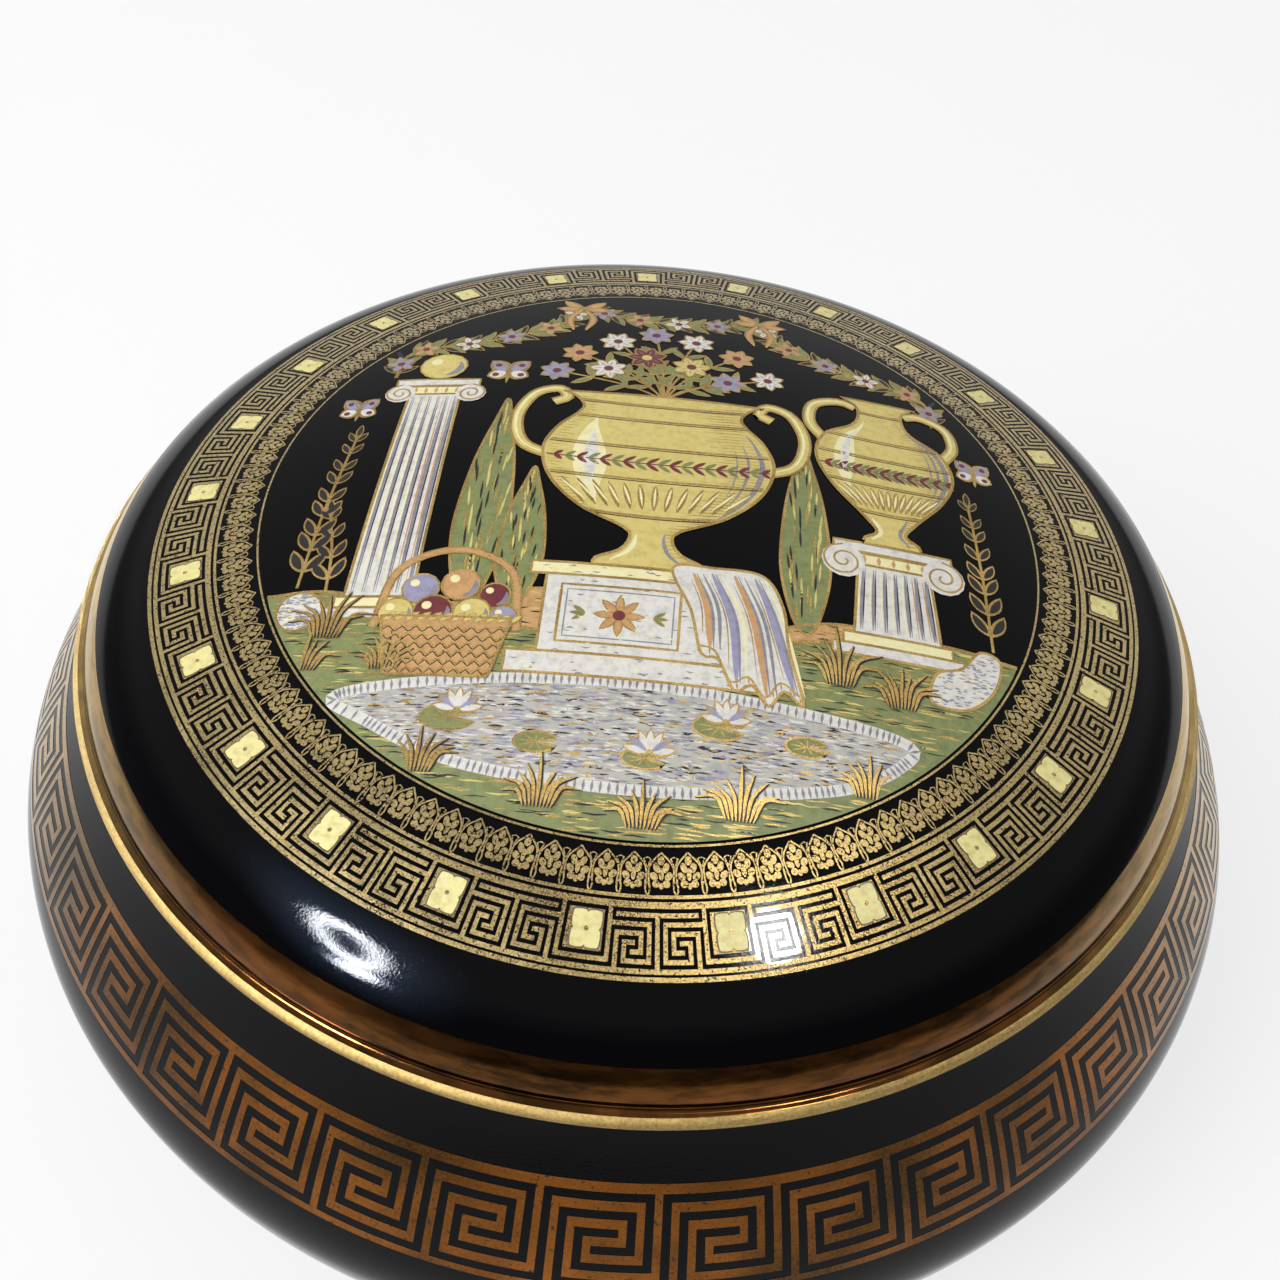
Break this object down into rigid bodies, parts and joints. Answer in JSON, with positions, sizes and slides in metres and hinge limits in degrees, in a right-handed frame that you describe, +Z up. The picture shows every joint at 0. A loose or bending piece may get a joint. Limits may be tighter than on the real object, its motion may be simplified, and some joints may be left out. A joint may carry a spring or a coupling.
{
  "type": "round trinket box",
  "caption": "Low round porcelain box with a hollow bowl on a foot ring and a domed lid that lifts off its seat, black glaze with gilt key bands.",
  "frame": {"origin": "centre of the foot ring's underside, on the table", "axes": "+Z up, the axis about which the bowl and the lid are turned; the picture on the lid reads upright from -Y"},
  "size_m": [0.14, 0.14, 0.062],
  "materials": {
    "bowl_glaze": "glossy black glaze",
    "lid_glaze": "glossy black glaze",
    "gilding": "fired gold, satin on the bands and burnished on the neck and lip",
    "cream_enamel": "pale cream enamel",
    "picture_enamels": "coloured enamels of the round picture",
    "white_glaze": "clear glaze over white porcelain, inside",
    "bisque": "bare fired porcelain on the seat and the foot ring"
  },
  "bodies": {
    "base": {"bowl": "bowl_glaze"},
    "cover": {"lid": "lid_glaze"}
  },
  "joints": [
    {"name": "lid_lift", "type": "slide", "parent": "base", "child": "cover", "axis": [0, 0, 1], "range_m": [0, 0.06]}
  ]
}
